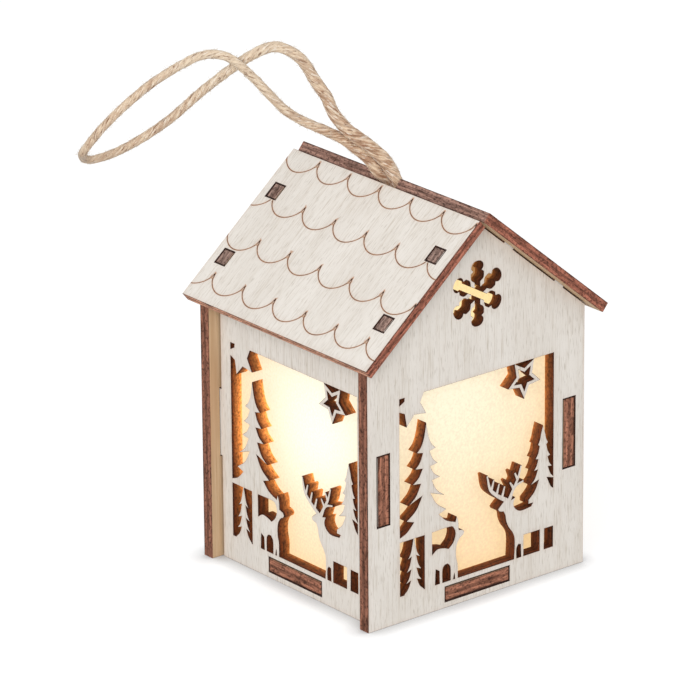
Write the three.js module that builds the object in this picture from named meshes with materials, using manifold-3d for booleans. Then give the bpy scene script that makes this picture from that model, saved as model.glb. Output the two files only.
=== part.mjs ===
// Light-up house ornament: a laser-cut plywood house with a winter scene in each wall, frosted sheets
// behind the scenes, a battery lamp in the floor and a twine loop at the ridge. Millimetres, +Z up, front
// gable facing -Y. The origin lies on the table under the middle of the house.

import * as THREE from "three";
import { mergeVertices } from "three/addons/utils/BufferGeometryUtils.js";
import Module from "manifold-3d";

const wasm = await Module();
wasm.setup();

const degrees = THREE.MathUtils.degToRad;

// Plywood shell
const plyThickness = 3;
const roofThickness = 2.4;
const gableWidth = 62;
const houseDepth = 58;
const eaveHeight = 61.4;
const roofPitch = degrees(40);
const leftEaveOverhang = 1.6;
const rightEaveOverhang = 2.8;
const frontOverhang = 3.3;
const backOverhang = 2.5;
const sideWallInset = 2.9;
const floorHeight = 1.7;

// Fits of the plywood pieces
const slotClearance = 0.15;
const panelGap = 0.1;
const roofSeatGap = 0.3;
const ridgeGap = 0.3;
const ridgeLap = 1;

// Tabs: the roof tabs are placed by their distance from the apex, down the slope
const sideTabHeight = 16;
const sideTabCentre = 32.2;
const floorTabLength = 18;
const roofTabLength = 3.4;
const upperRoofTab = 11.5;
const lowerRoofTab = 30.4;

// Windows and the snowflake in the gables
const windowWidth = 44;
const windowHeight = 46;
const windowSill = 6.2;
const snowflakeRadius = 7.4;
const snowflakeMargin = 5;

// Frosted sheets behind the windows
const sheetThickness = 0.4;
const sheetGlue = 0.1;
const sheetMargin = 6.5;
const sheetEndGap = 0.6;
const sheetFloorGap = 0.2;

// Twine loop, its notch in the ridge end of the right roof panel, and its knot
const cordDiameter = 2.4;
const cordSides = 8;
const cordSteps = 64;
const cordHeading = degrees(141);
const notchWidth = 6.6;
const notchDepth = 3.1;
const notchCentre = 1;
const knotRadius = 3.6;

// Coin cell and its turning cap
const cellDiameter = 20;
const cellThickness = 3.2;
const cellOffset = 2.5;
const cellGap = 0.2;
const capRim = 1;
const lugReach = 1;
const lugThickness = 0.8;
const lugAngle = degrees(30);
const capTurn = degrees(50);
const coinSlotWidth = 1.8;
const coinSlotLength = 14;
const coinSlotDepth = 0.9;

// Lamp housing
const lampClearance = 0.9;
const lampWall = 1.8;
const lampLedge = 0.8;
const lampTop = 1.2;
const basePlateThickness = 1.2;
const flangeWidth = 4.5;
const flangeThickness = 1.4;
const runningGap = 0.3;
const pressGap = 0.1;
const basePlateFit = 0.15;
const insideRoom = 0.5;

// Cell holder, contacts and circuit board
const holderWall = 1;
const holderRoof = 0.9;
const holderSkirt = 0.8;
const contactSpace = 1;
const contactMetal = 0.3;
const contactWidth = 4;
const clipWidth = 5;
const clipFoot = 1.2;
const boardThickness = 1.2;
const postHeight = 3.5;
const postRadius = 1.9;

// Light-emitting diode
const ledRadius = 2.5;
const ledFlange = 0.4;
const ledFlangeThickness = 1;
const ledHeight = 8.6;
const ledLegSpacing = 2.54;
const ledLegWidth = 0.5;

// Slide switch: the stem shows under the lamp
const switchWidth = 4;
const switchLength = 9;
const switchHeight = 3.5;
const switchLip = 1;
const switchTravel = 2;
const stemWidth = 1.6;
const stemLength = 2;
const stemProud = 0.5;
const headWidth = 2.4;
const headLength = 3.2;
const headThickness = 1.2;

// Screws: the flange screws bite into the floor, the board screws into the housing's posts
const flangeScrewRadius = 0.9;
const flangeScrewHead = 1.9;
const flangeScrewHeadHeight = 1.2;
const flangeScrewEnd = 0.5;
const boardScrewRadius = 0.7;
const boardScrewHead = 1.4;
const boardScrewHeadHeight = 1;
const boardScrewBite = 2.5;
const boardScrewAngle = degrees(105);
const screwClearance = 0.2;

// Faces round a turned piece, and how far a cut runs past what it cuts
const roundSides = 40;
const smallSides = 16;
const cutPast = 1;

// Worked out from the sizes above
const apexHeight = eaveHeight + (gableWidth / 2) * Math.tan(roofPitch);
const roofApex = apexHeight + roofSeatGap / Math.cos(roofPitch);
const gableInner = houseDepth / 2 - plyThickness;
const sideOuter = gableWidth / 2 - sideWallInset;
const sideInner = sideOuter - plyThickness;
const sideWallTop = roofApex - sideOuter * Math.tan(roofPitch) - roofSeatGap;
const floorTop = floorHeight + plyThickness;
const windowTop = windowSill + windowHeight;
const snowflakeHeight = apexHeight - (snowflakeRadius + snowflakeMargin) / Math.cos(roofPitch);
const slotThickness = plyThickness + 2 * slotClearance;

const cellRadius = cellDiameter / 2;
const capRadius = cellRadius + capRim;
const capHole = capRadius + runningGap;
const lugRadius = capHole + lugReach;
const lampInner = cellOffset + lugRadius + insideRoom;
const lampRadius = lampInner + lampWall;
const flangeRadius = lampRadius + flangeWidth;
const flangeScrewPlace = lampRadius + flangeWidth / 2;
const holderInner = cellRadius + runningGap;
const holderOuter = holderInner + holderWall;
const boardRadius = lampInner - insideRoom;
const postPlace = boardRadius - postRadius - insideRoom;
const switchPlace = cellOffset - holderOuter - insideRoom - switchWidth / 2;

// Heights in the lamp, from its underside
const lugBottom = basePlateThickness + runningGap;
const capTop = lugBottom + lugThickness;
const cellBottom = capTop + cellGap;
const cellTop = cellBottom + cellThickness;
const holderCeiling = cellTop + contactSpace;
const holderTop = holderCeiling + holderRoof;
const boardBottom = holderTop + pressGap;
const boardTop = boardBottom + boardThickness;
const lampCeiling = boardTop + pressGap + postHeight;
const lampHeight = lampCeiling + lampTop;
const flangeBottom = floorTop + pressGap - lampClearance;
const flangeTop = flangeBottom + flangeThickness;

function paint(color, roughness, metalness = 0) {
  return new THREE.MeshStandardMaterial({ color, roughness, metalness });
}
const whitewashedPly = paint(0xded8cf, 0.75);
const birchPly = paint(0xc8a578, 0.7);
const frostedSheet = paint(0xfff1cf, 0.6);
const juteTwine = paint(0xc8aa82, 0.95);
const whitePlastic = paint(0xe9e6de, 0.45);
const blackPlastic = paint(0x222222, 0.5);
const warmLens = paint(0xffe9b8, 0.15);
const greenBoard = paint(0x2f6b3f, 0.5);
const nickel = paint(0xbfc1c2, 0.3, 1);
const steel = paint(0xa8a9ab, 0.35, 1);

// Solids

// A closed geometry as a solid, with its shared corners joined and its empty triangles dropped.
function toSolid(geometry) {
  geometry.deleteAttribute("normal");
  geometry.deleteAttribute("uv");
  const joined = mergeVertices(geometry, 1e-4);
  const index = joined.index.array;
  const triangles = [];
  for (let i = 0; i < index.length; i += 3) {
    const [a, b, c] = [index[i], index[i + 1], index[i + 2]];
    if (a !== b && b !== c && c !== a) triangles.push(a, b, c);
  }
  return new wasm.Manifold(
    new wasm.Mesh({
      numProp: 3,
      vertProperties: joined.attributes.position.array,
      triVerts: new Uint32Array(triangles),
    }),
  );
}

function toGeometry(solid) {
  const { vertProperties, triVerts } = solid.getMesh();
  const geometry = new THREE.BufferGeometry();
  geometry.setAttribute("position", new THREE.BufferAttribute(vertProperties, 3));
  geometry.setIndex(new THREE.BufferAttribute(triVerts, 1));
  const faceted = geometry.toNonIndexed();
  faceted.computeVertexNormals();
  return faceted;
}

function piece(name, solid, material) {
  const mesh = new THREE.Mesh(toGeometry(solid), material);
  mesh.name = name;
  return mesh;
}

// An outline in X and Y, drawn up along Z.
function prism(points, bottom, top) {
  const outline = new THREE.Shape(points.map(([x, y]) => new THREE.Vector2(x, y)));
  const geometry = new THREE.ExtrudeGeometry(outline, { depth: top - bottom, bevelEnabled: false });
  geometry.translate(0, 0, bottom);
  return toSolid(geometry);
}

function block([left, right], [front, back], [bottom, top]) {
  const geometry = new THREE.BoxGeometry(right - left, back - front, top - bottom);
  geometry.translate((left + right) / 2, (front + back) / 2, (bottom + top) / 2);
  return toSolid(geometry);
}

// A profile of radius and height, turned about Z.
function turned(profile, sides = roundSides) {
  const geometry = new THREE.LatheGeometry(
    profile.map(([radius, height]) => new THREE.Vector2(radius, height)),
    sides,
  );
  geometry.rotateX(Math.PI / 2);
  return toSolid(geometry);
}

function disc(radius, bottom, top, sides = roundSides, [x, y] = [0, 0]) {
  const geometry = new THREE.CylinderGeometry(radius, radius, top - bottom, sides);
  geometry.rotateX(Math.PI / 2);
  geometry.translate(x, y, (bottom + top) / 2);
  return toSolid(geometry);
}

const centred = (middle, length) => [middle - length / 2, middle + length / 2];
const polar = (radius, angle) => [radius * Math.cos(angle), radius * Math.sin(angle)];

// Winter scene: drawn on a sheet of this size, from the middle of the sill, and fitted to the window

const drawingWidth = 44;
const drawingHeight = 46;
const intoFrame = -0.4;

// Tiers of a fir from the top: height of the branch tips, half width there, then height and half width of
// the notch under them. The lowest tier has no notch.
const tallFir = {
  axis: -14.5,
  tip: 38.8,
  shoulder: [0.7, 35.4],
  tiers: [
    [32.3, 2.7, 31.9, 1],
    [28.6, 3.2, 28.3, 1.1],
    [25.2, 3.9, 24.9, 1.6],
    [20.6, 5.1, 22, 1.2],
    [17.1, 5.7, 16.4, 3.6],
    [13.3, 8.5],
  ],
  foot: 12.6,
};
const youngFir = {
  axis: -18.1,
  tip: 13.4,
  shoulder: [0.5, 11],
  tiers: [
    [8, 1.8, 8.5, 0.7],
    [5, 2.1, 5.5, 0.8],
    [2.4, 2.3, 2.9, 0.9],
    [0.1, 2.8],
  ],
  foot: intoFrame,
};
const edgeFir = {
  axis: 19,
  tip: 29.7,
  shoulder: [0.6, 27.8],
  tiers: [
    [25.3, 1.5, 24.9, 1],
    [22.1, 2.2, 21.9, 1.4],
    [19.4, 2.7, 19.5, 1.5],
    [16.3, 3.6, 17, 1.2],
    [13, 4.2],
  ],
  foot: 12,
};
const tallFirTrunk = [
  [-15.1, intoFrame],
  [-12.9, intoFrame],
  [-12.9, 13],
  [-15.1, 13],
];

const fawn = [
  [-13.2, intoFrame],
  [-13.2, 7.2],
  [-11.4, 8.3],
  [-9.6, 8.1],
  [-8.2, 7.6],
  [-6.9, 8.8],
  [-6.3, 10.5],
  [-6.6, 11.8],
  [-7.8, 13],
  [-6.4, 13.1],
  [-5.9, 14.6],
  [-5.4, 13.3],
  [-5.3, 11.3],
  [-4.2, 11],
  [-3.7, 10.4],
  [-4, 9.8],
  [-5, 9.2],
  [-5.9, 7.6],
  [-6, 5],
  [-5.6, 3.2],
  [-5.6, intoFrame],
  [-6.4, intoFrame],
  [-6.6, 1.5],
  [-7, intoFrame],
  [-7.7, intoFrame],
  [-7.8, 3.2],
  [-8.5, 4.1],
  [-9.3, 4],
  [-9.9, 3.3],
  [-10, intoFrame],
  [-10.8, intoFrame],
  [-10.9, 3],
  [-11.9, 3.6],
  [-12.1, intoFrame],
];

const reindeer = [
  [6, 13.1],
  [6.3, 12.5],
  [7.6, 12.1],
  [8.1, 11],
  [8.3, 9.8],
  [9, 8.1],
  [10.1, 6.6],
  [10.7, 5.2],
  [10.8, 2.8],
  [10.6, intoFrame],
  [11.4, intoFrame],
  [11.4, 2.4],
  [11.9, 3.2],
  [12.6, 3],
  [12.7, intoFrame],
  [13.4, intoFrame],
  [13.5, 5],
  [18.1, 5],
  [18.1, intoFrame],
  [19.4, intoFrame],
  [19.5, 4.9],
  [22.4, 4.9],
  [22.4, 12.8],
  [16.6, 12.8],
  [15.6, 11.3],
  [12.6, 11.1],
  [11.2, 11.8],
  [10.5, 13.1],
  [11, 14.7],
  [9.8, 14.3],
  [9.2, 15],
  [8.2, 14.9],
  [7, 14],
];

// Antler strokes: root width, then the points of the middle line
const antlers = [
  [1.2, [8.7, 14.4], [5.8, 16.3], [3.7, 18.3], [2.8, 21.8]],
  [0.9, [4, 17.9], [4.8, 20.4]],
  [0.9, [5.5, 16.4], [6.3, 19.1]],
  [0.9, [7.1, 15.5], [7.9, 18.1]],
  [1.2, [9.2, 14.4], [10.6, 16.9], [11.8, 19], [12.7, 21.8]],
  [0.9, [11.7, 18.6], [10.8, 20.5]],
  [0.9, [10.6, 16.7], [9.4, 18.6]],
  [0.9, [11, 17.3], [13.4, 18]],
];
const antlerTip = 0.5;

// Five-pointed stars: centre, outer and inner radius, and the angle of one point
const hangingStar = { centre: [13.5, 42.1], outer: 4.9, inner: 2.4, angle: degrees(-90) };
const starHole = { ...hangingStar, outer: 3, inner: 1.4 };
const cornerStar = { centre: [-18.6, 43.8], outer: 5, inner: 2.5, angle: degrees(-34) };
const starPoints = 5;

// A branch falls steeply at first and then spreads: the share of its way out, and of its way down, where it
// bends.
const branchOut = 0.4;
const branchDown = 0.6;

function firOutline({ axis, tip, shoulder, tiers, foot }) {
  const half = [shoulder];
  let [fromWidth, fromHeight] = shoulder;
  for (const [height, width, notchHeight, notchWidth] of tiers) {
    const { lerp } = THREE.MathUtils;
    half.push([lerp(fromWidth, width, branchOut), lerp(fromHeight, height, branchDown)], [width, height]);
    if (notchWidth) half.push([notchWidth, notchHeight]);
    [fromWidth, fromHeight] = [notchWidth, notchHeight];
  }
  half.push([half.at(-1)[0], foot]);
  const left = half.map(([x, y]) => [axis - x, y]);
  const right = half.map(([x, y]) => [axis + x, y]).reverse();
  return [[axis, tip], ...left, ...right];
}

function starOutline({ centre, outer, inner, angle }) {
  const points = [];
  for (let i = 0; i < 2 * starPoints; i++) {
    const [x, y] = polar(i % 2 ? inner : outer, angle + (i * Math.PI) / starPoints);
    points.push([centre[0] + x, centre[1] + y]);
  }
  return points;
}

function strokeOutline([rootWidth, ...points]) {
  const left = [];
  const right = [];
  points.forEach(([x, y], i) => {
    const before = points[Math.max(i - 1, 0)];
    const after = points[Math.min(i + 1, points.length - 1)];
    const along = new THREE.Vector2(after[0] - before[0], after[1] - before[1]).normalize();
    const half = THREE.MathUtils.lerp(rootWidth, antlerTip, i / (points.length - 1)) / 2;
    left.push([x - along.y * half, y + along.x * half]);
    right.unshift([x + along.y * half, y - along.x * half]);
  });
  return [...right, ...left];
}

const onWall = ([x, y]) => [
  (x * windowWidth) / drawingWidth,
  windowSill + (y * windowHeight) / drawingHeight,
];
const scenePrism = (outline, bottom = 0, top = plyThickness) => prism(outline.map(onWall), bottom, top);

function winterScene() {
  const outlines = [
    tallFirTrunk,
    firOutline(tallFir),
    firOutline(youngFir),
    firOutline(edgeFir),
    fawn,
    reindeer,
    ...antlers.map(strokeOutline),
    starOutline(hangingStar),
    starOutline(cornerStar),
  ];
  return outlines.map((outline) => scenePrism(outline)).reduce((all, next) => all.add(next));
}

// Half of a snowflake arm as shares of the radius: distance from the centre, then half width
const snowflakeArm = [
  [0.2, 0.1],
  [0.36, 0.1],
  [0.47, 0.23],
  [0.64, 0.24],
  [0.71, 0.15],
  [0.8, 0.22],
  [0.92, 0.2],
  [1, 0.09],
];
const snowflakeArms = 6;

function snowflakeOutline() {
  const points = [];
  for (let i = 0; i < snowflakeArms; i++) {
    const angle = Math.PI / 2 + (i * 2 * Math.PI) / snowflakeArms;
    const arm = [...snowflakeArm.map(([along, half]) => [along, -half]), ...[...snowflakeArm].reverse()];
    for (const [along, across] of arm) {
      const [x, y] = [along * snowflakeRadius, across * snowflakeRadius];
      points.push([
        x * Math.cos(angle) - y * Math.sin(angle),
        snowflakeHeight + x * Math.sin(angle) + y * Math.cos(angle),
      ]);
    }
  }
  return points;
}

// Walls lie flat while they are made: X across the wall seen from outside, Y up, Z from the inner to the
// outer face

const throughPly = [-cutPast, plyThickness + cutPast];

function withWindow(plate) {
  const opening = block(centred(0, windowWidth), [windowSill, windowTop], throughPly);
  return plate
    .subtract(opening)
    .add(winterScene())
    .subtract(scenePrism(starOutline(starHole), ...throughPly));
}

function floorSlot() {
  return block(
    centred(0, floorTabLength + 2 * slotClearance),
    centred(floorHeight + plyThickness / 2, slotThickness),
    throughPly,
  );
}

const onSlope = (along, out) => [
  along * Math.cos(roofPitch) + out * Math.sin(roofPitch),
  apexHeight - along * Math.sin(roofPitch) + out * Math.cos(roofPitch),
];

function gableWall() {
  const tabTop = roofSeatGap + roofThickness;
  const rightSlope = [lowerRoofTab, upperRoofTab].flatMap((place) => {
    const [upper, lower] = centred(place, roofTabLength);
    return [onSlope(lower, 0), onSlope(lower, tabTop), onSlope(upper, tabTop), onSlope(upper, 0)];
  });
  const half = [[gableWidth / 2, 0], [gableWidth / 2, eaveHeight], ...rightSlope];
  const otherHalf = half.map(([x, y]) => [-x, y]).reverse();
  let wall = withWindow(prism([...half, [0, apexHeight], ...otherHalf], 0, plyThickness));
  const slotHeight = centred(sideTabCentre, sideTabHeight + 2 * slotClearance);
  for (const side of [-1, 1]) {
    const place = side * (sideOuter - plyThickness / 2);
    wall = wall.subtract(block(centred(place, slotThickness), slotHeight, throughPly));
  }
  return wall.subtract(floorSlot()).subtract(prism(snowflakeOutline(), ...throughPly));
}

function sideWall() {
  const edge = gableInner - panelGap;
  const [tabBottom, tabTop] = centred(sideTabCentre, sideTabHeight);
  const half = [
    [edge, 0],
    [edge, tabBottom],
    [houseDepth / 2, tabBottom],
    [houseDepth / 2, tabTop],
    [edge, tabTop],
    [edge, sideWallTop],
  ];
  const otherHalf = half.map(([x, y]) => [-x, y]).reverse();
  return withWindow(prism([...half, ...otherHalf], 0, plyThickness)).subtract(floorSlot());
}

function frostedPane(width) {
  const outer = -sheetGlue;
  return block(
    centred(0, width),
    [floorTop + sheetFloorGap, windowTop + sheetMargin],
    [outer - sheetThickness, outer],
  );
}

// One side of the house: its wall and the sheet behind it, turned to face out.
function houseSide(name, turn, innerFace, wall, paneWidth) {
  const side = new THREE.Group();
  side.rotation.z = turn;
  const upright = new THREE.Group();
  upright.rotation.x = Math.PI / 2;
  upright.position.y = -innerFace;
  upright.add(piece(name + "_wall", wall, whitewashedPly));
  upright.add(piece(name + "_diffuser", frostedPane(paneWidth), frostedSheet));
  side.add(upright);
  return side;
}

function floorPanel() {
  const throughFloor = [floorHeight - cutPast, floorTop + cutPast];
  const [x, y] = [sideInner - panelGap, gableInner - panelGap];
  const tab = floorTabLength / 2;
  const quarter = [
    [sideOuter, tab],
    [x, tab],
    [x, y],
    [tab, y],
    [tab, houseDepth / 2],
  ];
  const quarters = [
    quarter,
    quarter.map(([a, b]) => [-a, b]).reverse(),
    quarter.map(([a, b]) => [-a, -b]),
    quarter.map(([a, b]) => [a, -b]).reverse(),
  ];
  let floor = prism(quarters.flat(), floorHeight, floorTop);
  floor = floor.subtract(disc(lampRadius + runningGap, ...throughFloor));
  for (const side of [-1, 1]) {
    const place = [0, side * flangeScrewPlace];
    const pilot = disc(flangeScrewRadius + slotClearance, ...throughFloor, smallSides, place);
    floor = floor.subtract(pilot);
  }
  return floor;
}

// A roof panel in its own slope: X down the slope from the gables' apex, Y along the ridge, Z out of the
// roof. The right panel laps over the ridge by a little, and the left one ends below its underside.
const roofUnder = roofSeatGap;
const roofTop = roofUnder + roofThickness;
const roofMiddle = -roofSeatGap * Math.tan(roofPitch);
const rightRidgeEdge = roofMiddle - ridgeLap;
const leftRidgeEdge =
  roofMiddle + (roofThickness * Math.cos(2 * roofPitch) + ridgeGap) / Math.sin(2 * roofPitch);
const gableSlope = gableWidth / 2 / Math.cos(roofPitch);
const roofFront = -houseDepth / 2 - frontOverhang;
const roofBack = houseDepth / 2 + backOverhang;
const throughRoof = [roofUnder - cutPast, roofTop + cutPast];

function roofPanel(downSlope, alongRidge) {
  const slotLength = roofTabLength + 2 * slotClearance;
  let panel = block(downSlope, alongRidge, [roofUnder, roofTop]);
  for (const place of [upperRoofTab, lowerRoofTab]) {
    for (const side of [-1, 1]) {
      const wallMiddle = side * (houseDepth / 2 - plyThickness / 2);
      const slot = block(centred(place, slotLength), centred(wallMiddle, slotThickness), throughRoof);
      panel = panel.subtract(slot);
    }
  }
  return panel;
}

function rightRoofPanel() {
  const panel = roofPanel([rightRidgeEdge, gableSlope + rightEaveOverhang], [roofFront, roofBack]);
  const throughRidge = [rightRidgeEdge - cutPast, roofMiddle + notchDepth];
  return panel.subtract(block(throughRidge, centred(notchCentre, notchWidth), throughRoof));
}

// The left panel's slope faces the other way, so its Y runs from the back to the front.
function leftRoofPanel() {
  return roofPanel([leftRidgeEdge, gableSlope + leftEaveOverhang], [-roofBack, -roofFront]);
}

function roofSide(name, turn, panel) {
  const side = new THREE.Group();
  side.rotation.z = turn;
  const slope = new THREE.Group();
  slope.rotation.y = roofPitch;
  slope.position.z = apexHeight;
  slope.add(piece(name, panel, whitewashedPly));
  side.add(slope);
  return side;
}

// Twine loop: both ends come up through the notch from the knot. Each point is a distance along the loop's
// heading, a distance across it and a height above the apex of the roof's underside.
const cordRoute = [
  [-1.1, -0.4, -1.2],
  [-1.1, -0.4, 0.9],
  [-0.1, -0.4, 3.7],
  [2.1, -0.4, 6.9],
  [5.1, -0.3, 9.8],
  [9.2, -0.1, 13.1],
  [12.1, -0.1, 16.6],
  [14.2, -0.4, 21.1],
  [16.7, -0.7, 24.9],
  [19, -0.8, 28.8],
  [21.8, -0.9, 31.1],
  [24.9, -1.1, 32.1],
  [27.9, -1.3, 31.3],
  [32.6, -1.5, 28.5],
  [38.4, -2, 24],
  [43, -2.6, 19.9],
  [48, -3.3, 15.2],
  [53.5, -4.1, 11],
  [60.4, -5, 6.9],
  [65, -5.2, 5.3],
  [66.8, -3.8, 5.8],
  [67.3, 0, 7.9],
  [66.9, 3.8, 10],
  [65.7, 5, 12.1],
  [62.2, 4.9, 16.3],
  [58.6, 4.3, 19.8],
  [52, 3.2, 25.2],
  [45.5, 2.4, 29.2],
  [41.1, 2, 31.2],
  [38, 1.7, 31.4],
  [34.8, 1.5, 30.4],
  [29.4, 1.2, 25.4],
  [23, 0.6, 18.2],
  [19.3, 0.1, 15.6],
  [11, -0.9, 11.2],
  [7.3, -0.9, 8.4],
  [4.6, -1.1, 5.8],
  [2.8, -1.7, 3],
  [0.8, -2.5, 0.9],
  [0.7, -2.6, -1.2],
];

function hangingCord() {
  const route = new THREE.CatmullRomCurve3(cordRoute.map((point) => new THREE.Vector3(...point)));
  const section = new THREE.Shape();
  for (let i = 0; i < cordSides; i++) {
    const [x, y] = polar(cordDiameter / 2, (i * 2 * Math.PI) / cordSides);
    if (i === 0) section.moveTo(x, y);
    else section.lineTo(x, y);
  }
  section.closePath();
  const sweep = { steps: cordSteps, extrudePath: route, bevelEnabled: false };
  const tube = new THREE.ExtrudeGeometry(section, sweep);
  const mesh = piece("hanging_cord", toSolid(tube), juteTwine);
  mesh.rotation.z = cordHeading;
  mesh.position.z = roofApex;
  return mesh;
}

// The knot bears on the underside of both roof panels.
function cordKnot() {
  const knot = new THREE.SphereGeometry(knotRadius, smallSides, smallSides / 2);
  const mesh = piece("cord_knot", toSolid(knot), juteTwine);
  mesh.position.set(0, notchCentre, roofApex - (knotRadius + roofSeatGap) / Math.cos(roofPitch));
  return mesh;
}

// Battery lamp, made from its underside up

const postPlaces = [boardScrewAngle, -boardScrewAngle].map((angle) => polar(postPlace, angle));

function lampHousing() {
  const rim = lampInner + lampLedge;
  const ledHole = ledRadius + runningGap;
  const shelf = basePlateThickness + pressGap;
  let housing = turned([
    [rim, 0],
    [lampRadius, 0],
    [lampRadius, flangeBottom],
    [flangeRadius, flangeBottom],
    [flangeRadius, flangeTop],
    [lampRadius, flangeTop],
    [lampRadius, lampHeight],
    [ledHole, lampHeight],
    [ledHole, lampCeiling],
    [lampInner, lampCeiling],
    [lampInner, shelf],
    [rim, shelf],
    [rim, 0],
  ]);
  const postEnds = [boardTop + pressGap, lampCeiling + lampTop / 2];
  for (const place of postPlaces) {
    housing = housing.add(disc(postRadius, ...postEnds, smallSides, place));
    const pilot = boardScrewRadius + slotClearance;
    housing = housing.subtract(disc(pilot, boardTop, lampCeiling, smallSides, place));
  }
  for (const side of [-1, 1]) {
    const hole = flangeScrewRadius + screwClearance;
    const place = [0, side * flangeScrewPlace];
    housing = housing.subtract(disc(hole, flangeBottom - cutPast, flangeTop + cutPast, smallSides, place));
  }
  return housing;
}

// A bayonet lug: a sector of the given reach and angle, centred on the cell.
function lugPair(radius, angle, width, bottom, top) {
  const lug = (middle) => {
    const steps = [-0.5, -0.25, 0, 0.25, 0.5];
    const rim = steps.map((share) => polar(radius, middle + share * width));
    return prism([[0, 0], ...rim].map(([x, y]) => [x + cellOffset, y]), bottom, top);
  };
  return lug(angle).add(lug(angle + Math.PI));
}

const lugsAtRest = Math.PI / 2;

function lampBase() {
  const entryReach = lugRadius + runningGap;
  const entryWidth = lugAngle + (2 * runningGap) / capHole;
  const through = [-cutPast, basePlateThickness + cutPast];
  const stemSlot = block(
    centred(switchPlace, stemWidth + 2 * runningGap),
    centred(0, stemLength + switchTravel + 2 * runningGap),
    through,
  );
  return disc(lampInner + lampLedge - basePlateFit, 0, basePlateThickness)
    .subtract(disc(capHole, ...through, roundSides, [cellOffset, 0]))
    .subtract(lugPair(entryReach, lugsAtRest - capTurn, entryWidth, ...through))
    .subtract(stemSlot);
}

function batteryCap() {
  const coinSlot = block(
    centred(cellOffset, coinSlotLength),
    centred(0, coinSlotWidth),
    [-cutPast, coinSlotDepth],
  );
  return disc(capRadius, 0, capTop, roundSides, [cellOffset, 0])
    .add(lugPair(lugRadius, lugsAtRest, lugAngle, lugBottom, capTop))
    .subtract(coinSlot);
}

function buttonCell() {
  const edge = 0.3;
  const seal = 1.5;
  const cell = turned([
    [0, cellBottom],
    [cellRadius - edge, cellBottom],
    [cellRadius, cellBottom + edge],
    [cellRadius, cellTop - edge],
    [cellRadius - seal, cellTop - edge],
    [cellRadius - seal, cellTop],
    [0, cellTop],
  ]);
  return cell.translate([cellOffset, 0, 0]);
}

function batteryHolder() {
  const skirt = cellBottom + holderSkirt;
  const holder = turned([
    [0, holderCeiling],
    [holderInner, holderCeiling],
    [holderInner, skirt],
    [holderOuter, skirt],
    [holderOuter, holderTop],
    [0, holderTop],
  ]);
  const clipGap = block(
    centred(0, clipWidth + 2 * runningGap),
    [cellRadius - runningGap, holderOuter + cutPast],
    [skirt - cutPast, holderTop + cutPast],
  );
  return holder.subtract(clipGap).translate([cellOffset, 0, 0]);
}

// A bent strip: its side view in X and Z, with the given width along Y.
function strip(points, width) {
  const flat = prism(points, -width / 2, width / 2);
  return flat.rotate([90, 0, 0]);
}

function negativeContact() {
  const high = holderCeiling - pressGap;
  const low = cellTop + pressGap + contactMetal;
  const [root, bend, foot, end] = [-0.7, -0.2, 0.4, 0.6].map((share) => cellOffset + share * cellRadius);
  return strip(
    [
      [root, high],
      [root, high - contactMetal],
      [bend, high - contactMetal],
      [foot, low - contactMetal],
      [end, low - contactMetal],
      [end, low],
      [foot, low],
      [bend, high],
    ],
    contactWidth,
  );
}

function positiveContact() {
  const inner = cellRadius + pressGap;
  const outer = inner + contactMetal;
  const toe = holderOuter + clipFoot;
  const top = boardBottom - pressGap;
  const bent = strip(
    [
      [inner, cellBottom + holderSkirt],
      [outer, cellBottom + holderSkirt],
      [outer, top - contactMetal],
      [toe, top - contactMetal],
      [toe, top],
      [inner, top],
    ],
    clipWidth,
  );
  return bent.rotate([0, 0, 90]).translate([cellOffset, 0, 0]);
}

const legPlaces = centred(0, ledLegSpacing);

function circuitBoard() {
  const through = [boardBottom - cutPast, boardTop + cutPast];
  let board = disc(boardRadius, boardBottom, boardTop);
  for (const x of legPlaces) {
    board = board.subtract(disc(ledLegWidth, ...through, smallSides / 2, [x, 0]));
  }
  for (const place of postPlaces) {
    board = board.subtract(disc(boardScrewRadius + screwClearance, ...through, smallSides, place));
  }
  return board;
}

function ledBulb() {
  const seat = boardTop + pressGap;
  const domeBase = seat + ledHeight - ledRadius;
  const dome = [0, 1, 2, 3].map((i) => {
    const [r, h] = polar(ledRadius, (i * Math.PI) / 8);
    return [r, domeBase + h];
  });
  let bulb = turned(
    [
      [0, seat],
      [ledRadius + ledFlange, seat],
      [ledRadius + ledFlange, seat + ledFlangeThickness],
      [ledRadius, seat + ledFlangeThickness],
      ...dome,
      [0, seat + ledHeight],
    ],
    smallSides,
  );
  const legHeight = [boardBottom, seat + ledFlangeThickness];
  for (const x of legPlaces) {
    bulb = bulb.add(block(centred(x, ledLegWidth), centred(0, ledLegWidth), legHeight));
  }
  return bulb;
}

function switchShell() {
  const top = boardBottom - pressGap;
  const bottom = top - switchHeight;
  const headRoom = block(
    centred(switchPlace, headWidth + 2 * runningGap),
    centred(0, headLength + switchTravel + 2 * runningGap),
    [bottom + switchLip, bottom + switchLip + headThickness + 2 * runningGap],
  );
  const mouth = block(
    centred(switchPlace, stemWidth + 2 * runningGap),
    centred(0, stemLength + switchTravel + 2 * runningGap),
    [bottom - cutPast, bottom + switchLip + runningGap],
  );
  return block(centred(switchPlace, switchWidth), centred(0, switchLength), [bottom, top])
    .subtract(headRoom)
    .subtract(mouth);
}

// The slider rests at its back stop, where the lamp is on.
function switchSlider() {
  const place = switchTravel / 2;
  const headBottom = boardBottom - pressGap - switchHeight + switchLip + runningGap;
  const head = block(
    centred(switchPlace, headWidth),
    centred(place, headLength),
    [headBottom, headBottom + headThickness],
  );
  const stem = block(
    centred(switchPlace, stemWidth),
    centred(place, stemLength),
    [-stemProud, headBottom + headThickness / 2],
  );
  return head.add(stem);
}

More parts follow.
